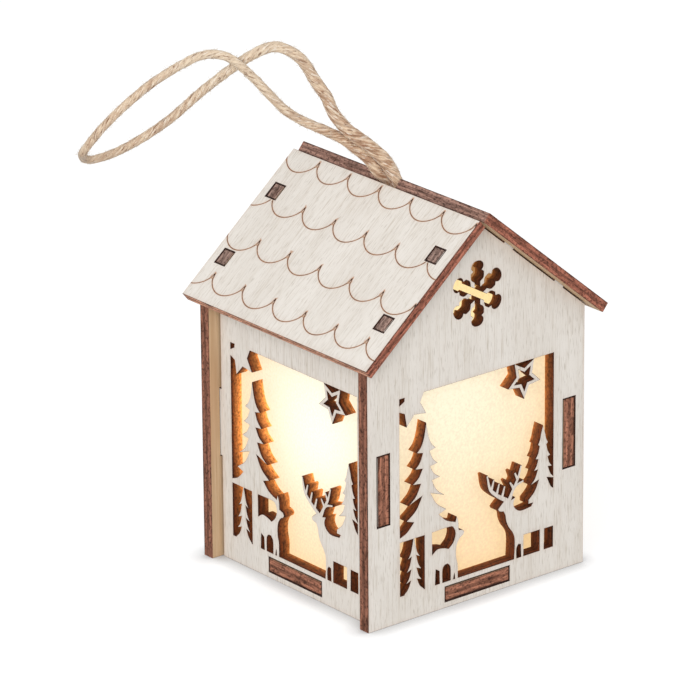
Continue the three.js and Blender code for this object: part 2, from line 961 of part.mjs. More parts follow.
// A screw on Z: from its point, up the shank, to the top of its head.
function screw(radius, point, headRadius, headBottom, headTop) {
  const chamfer = radius / 2;
  return turned(
    [
      [0, point],
      [radius, point + radius],
      [radius, headBottom],
      [headRadius, headBottom],
      [headRadius, headTop - chamfer],
      [headRadius - chamfer, headTop],
      [0, headTop],
    ],
    smallSides,
  );
}

function flangeScrew(side) {
  const seat = flangeTop + pressGap;
  const point = floorHeight - lampClearance + flangeScrewEnd;
  const made = screw(flangeScrewRadius, point, flangeScrewHead, seat, seat + flangeScrewHeadHeight);
  return made.translate([0, side * flangeScrewPlace, 0]);
}

// The board screws come up from below, so the screw is made pointing down and turned over.
function boardScrew([x, y]) {
  const seat = boardBottom - pressGap;
  const length = boardThickness + 2 * pressGap + boardScrewBite;
  const made = screw(boardScrewRadius, -length, boardScrewHead, 0, boardScrewHeadHeight);
  return made.rotate([180, 0, 0]).translate([x, y, seat]);
}

function batteryLamp() {
  const lamp = new THREE.Group();
  lamp.position.z = lampClearance;
  lamp.add(
    piece("lamp_housing", lampHousing(), whitePlastic),
    piece("lamp_base", lampBase(), whitePlastic),
    piece("battery_cap", batteryCap(), whitePlastic),
    piece("button_cell", buttonCell(), steel),
    piece("battery_holder", batteryHolder(), blackPlastic),
    piece("negative_contact", negativeContact(), nickel),
    piece("positive_contact", positiveContact(), nickel),
    piece("circuit_board", circuitBoard(), greenBoard),
    piece("led_bulb", ledBulb(), warmLens),
    piece("switch_shell", switchShell(), nickel),
    piece("switch_slider", switchSlider(), blackPlastic),
    piece("front_flange_screw", flangeScrew(-1), steel),
    piece("back_flange_screw", flangeScrew(1), steel),
    piece("back_board_screw", boardScrew(postPlaces[0]), steel),
    piece("front_board_screw", boardScrew(postPlaces[1]), steel),
  );
  return lamp;
}

const gablePane = 2 * (sideInner - sheetGlue - sheetThickness - sheetEndGap);
const sidePane = 2 * (gableInner - sheetGlue - sheetThickness - sheetEndGap);

const house = new THREE.Group();
house.add(
  houseSide("front", 0, gableInner, gableWall(), gablePane),
  houseSide("back", Math.PI, gableInner, gableWall(), gablePane),
  houseSide("left", -Math.PI / 2, sideInner, sideWall(), sidePane),
  houseSide("right", Math.PI / 2, sideInner, sideWall(), sidePane),
  piece("floor_panel", floorPanel(), birchPly),
  roofSide("right_roof_panel", 0, rightRoofPanel()),
  roofSide("left_roof_panel", Math.PI, leftRoofPanel()),
  hangingCord(),
  cordKnot(),
  batteryLamp(),
);

export default house;
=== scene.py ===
# Looks of the light-up house ornament: laser-cut plywood, lit frosted windows, jute loop, battery lamp
import math

import bmesh
import bpy
import numpy as np
from mathutils import Matrix, Vector, noise
from mathutils.geometry import delaunay_2d_cdt
from mathutils.kdtree import KDTree


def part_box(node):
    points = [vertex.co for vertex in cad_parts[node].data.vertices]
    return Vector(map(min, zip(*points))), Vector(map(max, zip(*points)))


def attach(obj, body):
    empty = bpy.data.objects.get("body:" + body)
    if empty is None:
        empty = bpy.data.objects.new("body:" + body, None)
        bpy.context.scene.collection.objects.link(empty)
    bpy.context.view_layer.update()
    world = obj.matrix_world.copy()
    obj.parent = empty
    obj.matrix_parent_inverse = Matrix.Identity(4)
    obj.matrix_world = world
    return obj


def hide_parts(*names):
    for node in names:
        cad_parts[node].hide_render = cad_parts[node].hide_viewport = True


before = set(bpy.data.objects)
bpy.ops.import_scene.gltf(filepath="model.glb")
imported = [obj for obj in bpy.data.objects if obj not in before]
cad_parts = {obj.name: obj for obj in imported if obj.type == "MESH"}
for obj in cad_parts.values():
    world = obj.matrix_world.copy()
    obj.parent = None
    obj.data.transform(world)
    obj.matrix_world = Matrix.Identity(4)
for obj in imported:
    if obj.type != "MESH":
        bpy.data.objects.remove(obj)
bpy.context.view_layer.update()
scene = bpy.context.scene
scene.view_settings.view_transform = "Standard"
mm = 0.001


def newObject(name, data):
    thing = bpy.data.objects.new(name, data)
    scene.collection.objects.link(thing)
    return thing


# Camera at the photograph's place
productView = {
    "lens": 293.53,
    "sensor": 36,
    "azimuth": math.radians(-39.09),
    "elevation": math.radians(20.753),
    "roll": math.radians(-0.457),
    "lookAt": Vector((0, 0, 47.69)) * mm,
    "distance": 1261.2 * mm,
    "across": -9.33 * mm,
    "up": 2 * mm,
}


def addCamera(v):
    a, e, r = v["azimuth"], v["elevation"], v["roll"]
    back = Vector((math.sin(a) * math.cos(e), -math.cos(a) * math.cos(e), math.sin(e)))
    level = Vector((math.cos(a), math.sin(a), 0))
    upright = back.cross(level)
    right = level * math.cos(r) + upright * math.sin(r)
    top = upright * math.cos(r) - level * math.sin(r)
    data = bpy.data.cameras.new("productCamera")
    data.lens = v["lens"]
    data.sensor_width = v["sensor"]
    data.clip_start = 0.1
    data.clip_end = 20
    cam = newObject("productCamera", data)
    cam.matrix_world = Matrix((right, top, back)).transposed().to_4x4()
    cam.location = v["lookAt"] + back * v["distance"] + right * v["across"] + top * v["up"]
    scene.camera = cam


addCamera(productView)
print("camera placed")


# Small tools for colours, nodes and meshes
def linear(hexColour):
    channels = [int(hexColour[i : i + 2], 16) / 255 for i in (1, 3, 5)]
    return [c / 12.92 if c <= 0.04045 else ((c + 0.055) / 1.055) ** 2.4 for c in channels] + [1]


# A node with its settings and inputs, where another node stands for its first output
def addNode(tree, kind, inputs=None, **settings):
    node = tree.nodes.new(kind)
    for key, value in settings.items():
        setattr(node, key, value)
    for key, value in (inputs or {}).items():
        if isinstance(value, bpy.types.Node):
            value = value.outputs[0]
        if isinstance(value, bpy.types.NodeSocket):
            tree.links.new(value, node.inputs[key])
        else:
            node.inputs[key].default_value = value
    return node


# A material with its shader's values, and the outputs of the attributes that it reads
def newMaterial(name, *attributes, **sockets):
    material = bpy.data.materials.new(name)
    material.use_nodes = True
    tree = material.node_tree
    shader = tree.nodes["Principled BSDF"]
    for key, value in sockets.items():
        shader.inputs[key.replace("_", " ")].default_value = value
    read = [addNode(tree, "ShaderNodeAttribute", attribute_name=key).outputs for key in attributes]
    return material, tree, shader, *read


# Stretched noise patterns on a place in mm: size along each of its three ways, and detail
def noisePatterns(tree, place, sizes):
    patterns = {}
    for key, (size, detail) in sizes.items():
        scale = [1 / s if s else 0 for s in size]
        spread = addNode(tree, "ShaderNodeMapping", {"Vector": place, "Scale": scale})
        clouds = {"Vector": spread, "Scale": 1, "Detail": detail, "Distortion": 0.4}
        patterns[key] = addNode(tree, "ShaderNodeTexNoise", clouds).outputs["Fac"]
    return patterns


# Tones laid over a first colour, each where its value is high: tone, value, low and high limit, most
def layOver(tree, colour, *layers):
    for tone, value, low, high, most in layers:
        limits = {"Value": value, "From Min": low, "From Max": high, "To Max": most}
        share = addNode(tree, "ShaderNodeMapRange", limits)
        mixed = addNode(tree, "ShaderNodeMix", {0: share, 6: colour, 7: linear(tone)}, data_type="RGBA")
        colour = mixed.outputs[2]
    return colour


# A shader's colour, and a fine relief by a pattern, with its depth in mm
def cover(tree, shader, colour, pattern, depth, strength):
    relief = {"Height": pattern, "Distance": depth * mm, "Strength": strength}
    tree.links.new(colour, shader.inputs["Base Color"])
    tree.links.new(addNode(tree, "ShaderNodeBump", relief).outputs[0], shader.inputs["Normal"])


def newMesh(name, vertices, faces, materials, faceMaterials=None, sharpAngle=35):
    mesh = bpy.data.meshes.new(name)
    mesh.from_pydata([tuple(v) for v in vertices], [], [tuple(f) for f in faces])
    for material in materials:
        mesh.materials.append(material)
    if faceMaterials is not None:
        mesh.polygons.foreach_set("material_index", np.array(faceMaterials, np.int32))
    mesh.polygons.foreach_set("use_smooth", np.ones(len(mesh.polygons), bool))
    mesh.set_sharp_from_angle(angle=math.radians(sharpAngle))
    mesh.update()
    return newObject(name, mesh)


# A copy of a CAD node's mesh, with its doubles merged
def mergedCopy(node):
    mesh = bmesh.new()
    mesh.from_mesh(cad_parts[node].data)
    bmesh.ops.remove_doubles(mesh, verts=mesh.verts, dist=0.002 * mm)
    return mesh


def pieceFrom(name, mesh):
    data = bpy.data.meshes.new(name)
    mesh.to_mesh(data)
    mesh.free()
    return newObject(name, data)


def setAttribute(piece, name, kind, values):
    layer = piece.data.attributes.new(name, kind, "POINT")
    key = {"FLOAT": "value", "FLOAT_VECTOR": "vector", "FLOAT_COLOR": "color"}[kind]
    layer.data.foreach_set(key, np.array(values, np.float32).ravel())


def standFor(piece, slot, *nodes, body="house"):
    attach(piece, body)
    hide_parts(*nodes)


# Jute twine spun from loose tan fibres: matt, streaked along the lay, short dark gaps between fibres, painted
# shade between plies
def juteTwine():
    material, tree, shader, place, valley, pale = newMaterial(
        "juteTwine", "twinePlace", "twineValley", "twinePale", Roughness=0.95, IOR=1.45, Sheen_Weight=0.3,
        Sheen_Roughness=0.4)
    patterns = noisePatterns(tree, place["Vector"], {
        "fibres": ((0.4, 0.4, 2.2), 4), "bundles": ((1.4, 1.4, 5), 2),
        "gaps": ((0.45, 0.45, 1.6), 3), "lights": ((0.4, 0.4, 1.8), 3)})
    # painted shade in the valleys between the plies, broken up by the bundles of fibres
    valleyShade = addNode(tree, "ShaderNodeMath", {0: valley["Fac"], 1: patterns["bundles"]}, operation="MULTIPLY")
    colour = layOver(
        tree, linear("#e5ccb0"),
        ("#b68e70", patterns["fibres"], 0.42, 0.6, 1),
        ("#976a50", patterns["bundles"], 0.5, 0.68, 0.7),
        ("#8a6244", valleyShade, 0.1, 0.6, 0.6),
        ("#efdfc6", pale["Fac"], 0, 1, 0.6),
        ("#74462a", patterns["gaps"], 0.56, 0.66, 0.75),
        ("#f8eedf", patterns["lights"], 0.56, 0.66, 0.7))
    cover(tree, shader, colour, patterns["fibres"], 0.07, 0.8)
    return material


# Loose jute fibres standing off the twine: thin and pale
def juteFibre():
    material, tree, shader = newMaterial("juteFibre", Roughness=0.9)
    where = addNode(tree, "ShaderNodeTexCoord")
    spots = {"Vector": where.outputs["Object"], "Scale": 900, "Detail": 0}  # about 1 mm, a fibre's length
    tint = addNode(tree, "ShaderNodeTexNoise", spots).outputs["Fac"]
    colour = layOver(tree, linear("#eadcc4"), ("#b8966b", tint, 0, 1, 1))
    tree.links.new(colour, shader.inputs["Base Color"])
    return material


# Birch plywood under a thin lime wash: off-white and matt, with fine grain and pores showing through,
# and a tan tinge where the laser passed
def limewashedBirch():
    material, tree, shader, place, scorch = newMaterial("limewashedBirch", "plyPlace", "scorch",
                                                        Roughness=0.7, IOR=1.5)
    patterns = noisePatterns(tree, place["Vector"], {
        "clouds": ((9, 30, 0), 2), "bands": ((1.3, 35, 0), 2),
        "grain": ((0.42, 9, 0), 3), "pores": ((0.2, 2.6, 0), 2)})
    colour = layOver(
        tree, linear("#efe9e1"),
        ("#e6dfd6", patterns["clouds"], 0.35, 0.7, 0.8),
        ("#d5cabb", patterns["bands"], 0.5, 0.75, 0.25),
        ("#bfb19d", patterns["grain"], 0.53, 0.73, 0.47),
        ("#9f907b", patterns["pores"], 0.57, 0.7, 0.43),
        ("#b9845a", scorch["Fac"], 0, 1, 0.75))
    cover(tree, shader, colour, patterns["grain"], 0.04, 0.5)
    return material


# Unfinished birch plywood: pale tan, plain sawn grain
def bareBirch():
    material, tree, shader, place = newMaterial("bareBirch", "plyPlace", Roughness=0.6, IOR=1.5)
    sizes = {"grain": ((0.7, 25, 0), 4), "bands": ((2.5, 50, 0), 1)}
    patterns = noisePatterns(tree, place["Vector"], sizes)
    colour = layOver(tree, linear("#d9bc98"), ("#c19c74", patterns["grain"], 0.3, 0.7, 0.9),
                     ("#b68f69", patterns["bands"], 0.5, 0.75, 0.5))
    cover(tree, shader, colour, patterns["grain"], 0.04, 0.5)
    return material


# Laser-cut plywood edge: browned by the beam and mottled, three soft plies with dark rims, and the lamp's
# amber light on the cuts beside a lit sheet
def charredEdge():
    material, tree, shader, place, tone, glow = newMaterial(
        "charredEdge", "plyPlace", "edgeTone", "edgeGlow", Roughness=0.85, Specular_IOR_Level=0.2,
        Emission_Color=linear("#ff9c4c"))
    place, glow = place["Vector"], glow["Fac"]
    depth = addNode(tree, "ShaderNodeSeparateXYZ", {0: place}).outputs["Z"]  # 0 inside, 3 at the shown face
    patterns = noisePatterns(tree, place, {
        "mottle": ((0.7, 0.7, 0.5), 4), "patches": ((4, 4, 1.2), 2), "streaks": ((4, 4, 0.3), 4)})
    wander = addNode(tree, "ShaderNodeMath", {0: patterns["patches"], 1: 0.9, 2: depth},
                     operation="MULTIPLY_ADD")
    share = addNode(tree, "ShaderNodeMapRange", {"Value": wander, "From Min": 0.45, "From Max": 3.45})
    plies = addNode(tree, "ShaderNodeValToRGB", {"Fac": share})
    ramp = plies.color_ramp
    ramp.elements[0].color = (0.6, 0.6, 0.6, 1)
    ramp.elements[1].color = (0.95, 0.95, 0.95, 1)
    for position, level in ((0.06, 0.2), (0.28, 0.05), (0.42, 0.6), (0.56, 0.6), (0.7, 0.1), (0.86, 0.2),
                            (0.93, 0.7)):
        ramp.elements.new(position).color = (level, level, level, 1)
    colour = layOver(tree, tone["Color"], ("#38221a", plies, 0, 1, 0.85),
                     ("#4a2614", patterns["patches"], 0.5, 0.7, 0.5),
                     ("#2a1610", patterns["mottle"], 0.5, 0.64, 0.7))
    limits = {"Value": patterns["streaks"], "From Min": 0.32, "From Max": 0.68, "To Min": 0.5, "To Max": 1.55}
    light = addNode(tree, "ShaderNodeMapRange", limits)
    colour = addNode(tree, "ShaderNodeHueSaturation", {"Color": colour, "Value": light}).outputs[0]
    # the lamp's light spreads from the sheet to the shown face, with a brighter fringe beside the sheet
    limits = {"Value": depth, "From Max": 2.7, "To Min": 1, "To Max": 0}
    near = addNode(tree, "ShaderNodeMapRange", limits)
    fringe = addNode(tree, "ShaderNodeMath", {0: near, 1: 5}, operation="POWER")
    softer = addNode(tree, "ShaderNodeMath", {0: glow}, operation="SQRT")
    beside = addNode(tree, "ShaderNodeMath", {0: fringe, 1: softer}, operation="MULTIPLY")
    spread = addNode(tree, "ShaderNodeMath", {0: near, 1: glow}, operation="MULTIPLY")
    falling = addNode(tree, "ShaderNodeMath", {0: beside, 1: 1.2, 2: spread}, operation="MULTIPLY_ADD")
    limits = {"Value": patterns["mottle"], "From Min": 0.3, "From Max": 0.7, "To Min": 0.75, "To Max": 0.2}
    speckle = addNode(tree, "ShaderNodeMapRange", limits)
    lit = addNode(tree, "ShaderNodeMath", {0: falling, 1: speckle}, operation="MULTIPLY").outputs[0]
    tree.links.new(lit, shader.inputs["Emission Strength"])
    cover(tree, shader, colour, patterns["mottle"], 0.08, 0.7)
    return material


# Engraved line: the burnt floor of a laser groove, broken by the pulses of the beam and darkest at the cusps
def burntLine():
    material, tree, shader, place, scorch = newMaterial("burntLine", "plyPlace", "scorch", Roughness=0.8,
                                                        IOR=1.5)
    spots = {"Vector": place["Vector"], "Scale": 1.4, "Detail": 2}  # 0.7 mm
    pulses = addNode(tree, "ShaderNodeTexNoise", spots).outputs["Fac"]
    colour = layOver(tree, linear("#764a30"), ("#b38460", pulses, 0.35, 0.65, 1),
                     ("#2b1e1a", scorch["Fac"], 1.02, 1.5, 0.95))
    tree.links.new(colour, shader.inputs["Base Color"])
    return material


# Frosted polypropylene sheet lit from behind: the glow on it is kept as a colour at each point
def frostedSheet():
    material, tree, shader, glow = newMaterial("frostedSheet", "glow", Base_Color=(0.3, 0.28, 0.24, 1),
                                               Roughness=0.55, IOR=1.49, Emission_Strength=1)
    where = addNode(tree, "ShaderNodeTexCoord").outputs["Object"]
    frost = addNode(tree, "ShaderNodeTexNoise", {"Vector": where, "Scale": 1800, "Detail": 2})  # about 0.5 mm
    limits = {"Value": frost.outputs["Fac"], "To Min": 0.75, "To Max": 1.25}
    level = addNode(tree, "ShaderNodeMapRange", limits)
    grainy = addNode(tree, "ShaderNodeVectorMath", {0: glow["Vector"], "Scale": level}, operation="SCALE")
    tree.links.new(grainy.outputs[0], shader.inputs["Emission Color"])
    return material


# Twine loop: route from the ridge notch round and back, along the heading, across it and above the apex,
# with the fullness and the paleness at lengths along it
twine = {
    "diameter": 2.4,
    "heading": math.radians(141),
    "apex": 87.804,
    "plies": 5,
    "layLength": 16,
    "around": 64,
    "step": 0.22,
    "samples": 24,
    "lobes": 0.02,
    # share of the radius, how fine around and along, and where the noise starts
    "unevenness": ((0.07, 0.8, 0.16, 0), (0.08, 3.1, 0.15, 40), (0.04, 6.5, 0.3, 80)),
    "fullness": ((0, 12, 35, 60, 97, 130, 165, 182, 193),
                 (1.26, 1.22, 1.06, 0.84, 0.75, 0.78, 0.86, 1, 1.14)),
    "paleness": ((0, 18, 32, 45, 58, 70, 97, 125, 135, 152, 164, 176, 193),
                 (0, 0, 0.25, 1, 1, 0.4, 0.6, 0.4, 1, 1, 0.6, 0, 0)),
    "route": [
        (-1.1, -0.4, -1.2), (-1.1, -0.4, 0.9), (-0.1, -0.4, 3.7), (2.1, -0.4, 6.9), (5.1, -0.3, 9.8),
        (9.2, -0.1, 13.1), (12.1, -0.1, 16.6), (14.2, -0.4, 21.1), (16.7, -0.7, 24.9), (19, -0.8, 28.8),
        (21.8, -0.9, 31.1), (24.9, -1.1, 32.1), (27.9, -1.3, 31.3), (32.6, -1.5, 28.5), (38.4, -2, 24),
        (43, -2.6, 19.9), (48, -3.3, 15.2), (53.5, -4.1, 11), (60.4, -5, 6.9), (65, -5.2, 5.3),
        (66.8, -3.8, 5.8), (67.3, 0, 7.9), (66.9, 3.8, 10), (65.7, 5, 12.1), (62.2, 4.9, 16.3),
        (58.6, 4.3, 19.8), (52, 3.2, 25.2), (45.5, 2.4, 29.2), (41.1, 2, 31.2), (38, 1.7, 31.4),
        (34.8, 1.5, 30.4), (29.4, 1.2, 25.4), (23, 0.6, 18.2), (19.3, 0.1, 15.6), (11, -0.9, 11.2),
        (7.3, -0.9, 8.4), (4.6, -1.1, 5.8), (2.8, -1.7, 3), (0.8, -2.5, 0.9), (0.7, -2.6, -1.2),
    ],
    "fuzz": {"Fibres per area": 2e6, "Fibre length": 1.1 * mm, "Fibre thickness": 0.04 * mm, "Lift": 0.18,
             "Bend": 0.55, "Least size": 0.35, "Most size": 1.25, "Seed": 7},
    "knot": {"size": 0.82, "height": 1.15, "radius": 1.05, "points": 150},
}


def unit(vectors):
    return vectors / np.maximum(np.linalg.norm(vectors, axis=1), 1e-9)[:, None]


# Point on a smooth stretch from a to b, which leaves and arrives in the given directions
def smoothStretch(t, a, b, leaving, arriving):
    return ((2 * t**3 - 3 * t**2 + 1) * a + (t**3 - 2 * t**2 + t) * leaving
            + (3 * t**2 - 2 * t**3) * b + (t**3 - t**2) * arriving)


# Centripetal curve through all points, then points at even steps along it
def smoothRoute(points, step):
    p = np.array(points, float)
    p = np.vstack([2 * p[0] - p[1], p, 2 * p[-1] - p[-2]])
    line = []
    t = np.linspace(0, 1, twine["samples"], endpoint=False)[:, None]
    for a, b, c, d in zip(p, p[1:], p[2:], p[3:]):
        ab, bc, cd = (math.sqrt(np.linalg.norm(y - x)) for x, y in ((a, b), (b, c), (c, d)))
        start = ((b - a) / ab - (c - a) / (ab + bc) + (c - b) / bc) * bc
        end = ((c - b) / bc - (d - b) / (bc + cd) + (d - c) / cd) * bc
        line.append(smoothStretch(t, b, c, start, end))
    line = np.vstack([*line, p[-2]])
    length = np.concatenate([[0], np.cumsum(np.linalg.norm(np.diff(line, axis=0), axis=1))])
    at = np.linspace(0, length[-1], round(length[-1] / step) + 1)
    return np.stack([np.interp(at, length, line[:, k]) for k in range(3)], axis=1), at


# Twisted plies as one closed tube: shallow lobes turning along the line, with bundles of fibres along the lay
def twistedTube(name, line, at, radii, material, closed=False):
    n, m = len(line), twine["around"]
    onward = np.roll(line, -1, axis=0) - np.roll(line, 1, axis=0) if closed else np.gradient(line, axis=0)
    tangents = unit(onward)
    side = np.cross(tangents[0], (0.3, 0.9, 0.2))
    sides = []
    for tangent in tangents:  # carried along without twist
        side = side - tangent * side.dot(tangent)
        side /= np.linalg.norm(side)
        sides.append(side)
    sides = np.array(sides)
    ups = np.cross(tangents, sides)
    vertices, places, valleys = [], [], []
    for i in range(n):
        for k in range(m):
            angle = 2 * math.pi * k / m
            turned = angle + 2 * math.pi * at[i] / twine["layLength"]
            c, s = math.cos(turned), math.sin(turned)
            lobe = math.cos(twine["plies"] * turned)
            r = 1 + twine["lobes"] * lobe
            for share, around, along, start in twine["unevenness"]:
                r += share * noise.noise((c * around, s * around, at[i] * along + start))
            r *= radii[i]
            vertices.append((line[i] + r * (sides[i] * math.cos(angle) + ups[i] * math.sin(angle))) * mm)
            places.append((radii[i] * c, radii[i] * s, at[i]))
            # depth in the valley between two plies, where the twine's material paints shade
            valleys.append(max(0, -lobe) ** 3)
    rings = n if closed else n - 1
    faces = []
    for i in range(rings):
        a, b = i * m, (i + 1) % n * m
        faces += [(a + k, a + (k + 1) % m, b + (k + 1) % m, b + k) for k in range(m)]
    if not closed:
        faces += [tuple(reversed(range(m))), tuple(range((n - 1) * m, n * m))]
    tube = newMesh(name, vertices, faces, [material], sharpAngle=70)
    setAttribute(tube, "twinePlace", "FLOAT_VECTOR", places)
    setAttribute(tube, "twineValley", "FLOAT", valleys)
    setAttribute(tube, "twinePale", "FLOAT", np.repeat(np.interp(at, *twine["paleness"]), m))
    return tube


# An empty Geometry Nodes tree with a named input for each value, and the identifiers of these inputs
def newTree(name, values):
    tree = bpy.data.node_groups.new(name, "GeometryNodeTree")
    for way in ("INPUT", "OUTPUT"):
        tree.interface.new_socket("Geometry", in_out=way, socket_type="NodeSocketGeometry")
    sockets = {}
    for key, value in values.items():
        kind = "NodeSocketInt" if isinstance(value, int) else "NodeSocketFloat"
        sockets[key] = tree.interface.new_socket(key, in_out="INPUT", socket_type=kind).identifier
    return tree, sockets, addNode(tree, "NodeGroupInput").outputs


# Loose fibres scattered over the twine
def fuzzTree(material):
    tree, sockets, given = newTree("looseFibres", twine["fuzz"])
    roots = addNode(tree, "GeometryNodeDistributePointsOnFaces",
                    {"Mesh": given["Geometry"], "Density": given["Fibres per area"], "Seed": given["Seed"]},
                    distribute_method="RANDOM")
    middle = addNode(tree, "ShaderNodeCombineXYZ", {"X": given["Fibre length"]})
    lifted = addNode(tree, "ShaderNodeMath", {0: given["Fibre length"], 1: given["Lift"]},
                     operation="MULTIPLY")
    half = addNode(tree, "ShaderNodeVectorMath", {0: middle, "Scale": given["Bend"]}, operation="SCALE")
    tip = addNode(tree, "ShaderNodeCombineXYZ", {"X": given["Fibre length"], "Z": lifted})
    hair = addNode(tree, "GeometryNodeCurveQuadraticBezier",
                   {"Resolution": 5, "Start": (0, 0, 0), "Middle": half, "End": tip})
    turn = addNode(tree, "FunctionNodeRandomValue",
                   {0: (-0.15, -0.2, -3.1416), 1: (0.15, 0.2, 3.1416), "Seed": given["Seed"]},
                   data_type="FLOAT_VECTOR")
    spun = addNode(tree, "FunctionNodeRotateRotation",
                   {"Rotation": roots.outputs["Rotation"], "Rotate By": turn}, rotation_space="LOCAL")
    size = addNode(tree, "FunctionNodeRandomValue",
                   {2: given["Least size"], 3: given["Most size"], "Seed": given["Seed"]}, data_type="FLOAT")
    planted = addNode(tree, "GeometryNodeInstanceOnPoints",
                      {"Points": roots.outputs["Points"], "Instance": hair,
                       "Rotation": spun, "Scale": size.outputs[1]})
    real = addNode(tree, "GeometryNodeRealizeInstances", {"Geometry": planted})
    thin = addNode(tree, "ShaderNodeMath", {0: given["Fibre thickness"], 1: 0.5}, operation="MULTIPLY")
    ring = addNode(tree, "GeometryNodeCurvePrimitiveCircle", {"Resolution": 3, "Radius": thin})
    hairs = addNode(tree, "GeometryNodeCurveToMesh",
                    {"Curve": real, "Profile Curve": ring, "Fill Caps": True})
    painted = addNode(tree, "GeometryNodeSetMaterial", {"Geometry": hairs, "Material": material})
    addNode(tree, "NodeGroupOutput", {0: painted})
    return tree, sockets


# A modifier's result on an object, as a plain mesh
def bakeModifier(piece, modifier, name):
    depsgraph = bpy.context.evaluated_depsgraph_get()
    mesh = bpy.data.meshes.new_from_object(piece.evaluated_get(depsgraph))
    piece.modifiers.remove(modifier)
    piece.data = mesh
    mesh.name = name


def bakeTree(name, base, tree, sockets, values):
    carrier = newObject(name, base)
    modifier = carrier.modifiers.new(name, "NODES")
    modifier.node_group = tree
    for key, value in values.items():
        modifier[sockets[key]] = value
    bakeModifier(carrier, modifier, name)
    return carrier


def makeTwine():
    cos, sin = math.cos(twine["heading"]), math.sin(twine["heading"])
    route = [(x * cos - y * sin, x * sin + y * cos, z + twine["apex"]) for x, y, z in twine["route"]]
    line, at = smoothRoute(route, twine["step"])
    jute = juteTwine()
    radii = twine["diameter"] / 2 * np.interp(at, *twine["fullness"])
    loop = twistedTube("hangingLoop", line, at, radii, jute)
    fibres = bakeTree("looseFibres", loop.data, *fuzzTree(juteFibre()), twine["fuzz"])
    standFor(loop, "jute_twine", "hanging_cord")
    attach(fibres, "house")
    # overhand knot inside the ridge, drawn tight
    k = twine["knot"]
    low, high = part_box("cord_knot")
    middle = np.array((low + high) / 2) / mm
    t = np.linspace(0, 2 * math.pi, k["points"], endpoint=False)
    bends = [np.sin(t) + 2 * np.sin(2 * t), np.cos(t) - 2 * np.cos(2 * t), -k["height"] * np.sin(3 * t)]
    knotLine = middle + np.column_stack(bends) * k["size"]
    steps = np.linalg.norm(np.diff(knotLine, axis=0, append=knotLine[:1]), axis=1)
    knotAt = np.concatenate([[0], np.cumsum(steps)[:-1]])
    knotAt *= twine["layLength"] * round(steps.sum() / twine["layLength"]) / steps.sum()
    knot = twistedTube("ridgeKnot", knotLine, knotAt, np.full(len(t), k["radius"]), jute, closed=True)
    standFor(knot, "jute_twine", "cord_knot")
    print(f"twine laid: {at[-1]:.1f} mm, {len(fibres.data.polygons)} fibre faces")


makeTwine()

# Plywood panels, cut again from the frame's outlines with soft curves, eased rims and a charred edge
plywood = {
    "rim": 0.07,
    "slotRim": 0.27,
    "scorchReach": 0.28,
    "scorchMost": 0.35,
    "gridStep": 1.3,
    "edgeStep": 0.55,
    "sharpTurn": math.radians(48),
    "longSide": 7,
    "sideEnd": 25.9,
    "gap": 0.35,
    "seat": 0.35,
    "slack": 0.05,
    "roofGap": 0.3,
    # which holes of a wall are slots, and which edges are the ends of tabs
    "slotsBeyond": 22.5,
    "slotsBelow": 6.5,
    "floorTabs": (25.6, 26.5),
    "wallTabs": 26.5,
    "roofTabs": 1,
    # little light gets into a small hole or up to the snowflake
    "dimmest": 0.1,
    "smallHole": 7,
    "smallHoleLight": 0.15,
    "snowflakeFrom": 60,
    "snowflakeGlow": 0.12,
    "tones": {
        # the slot tone is near black: a burnt cut, darkened further as painted shadow in the gap round a tab
        "window": "#6c3417", "snowflake": "#5a2c16", "slot": "#2a1e1a", "tabEnd": "#b87c63",
        "roofTab": "#a88b7f", "gableEnd": "#b8745f", "ridge": "#b28b7c", "eave": "#f4b698",
        "wallEdge": "#a26d58",
    },
}
pitch = math.radians(40)
gableApex = twine["apex"] - plywood["roofGap"] / math.cos(pitch)
slopeOut, slopeUp = (math.sin(pitch), 0, math.cos(pitch)), (-math.cos(pitch), 0, math.sin(pitch))
panels = [
    # node, piece, out of the panel's shown face, along the grain
    ("front_wall", "frontWall", (0, -1, 0), (0, 0, 1)),
    ("back_wall", "backWall", (0, 1, 0), (0, 0, 1)),
    ("left_wall", "leftWall", (-1, 0, 0), (0, 0, 1)),
    ("right_wall", "rightWall", (1, 0, 0), (0, 0, 1)),
    ("right_roof_panel", "rightRoof", slopeOut, slopeUp),
    ("left_roof_panel", "leftRoof", (-slopeOut[0], 0, slopeOut[2]), (-slopeUp[0], 0, slopeUp[2])),
    ("floor_panel", "floorPlate", (0, 0, -1), (0, 1, 0)),
]
# Lamp light on the window cuts of each wall: its strength, and the middle and reach of the bright patch in mm
cutGlow = {
    "frontWall": (0.65, (-4, 46), (34, 18)), "backWall": (0.65, (4, 46), (34, 18)),
    "leftWall": (2.5, (-12, 34), (30, 14)), "rightWall": (2.5, (-12, 34), (30, 14)),
}
# Scallops engraved on the roof, in rows from the ridge down: each row is half a scallop aside from the last
scallops = {
    "pattern": {"Rows": 4, "Per row": 8, "Row pitch": 11.13, "Width": 32 / 3, "Drop": 4.27, "Roundness": 0.52,
                "Points": 27},
    "firstRow": 1.6,
    "lineWidth": 0.19,
    "lineDepth": 0.14,
    "cuspReach": 1.5,
    "cuspSwell": 0.7,
    "beside": 2.6,
    "scorch": 0.22,
}


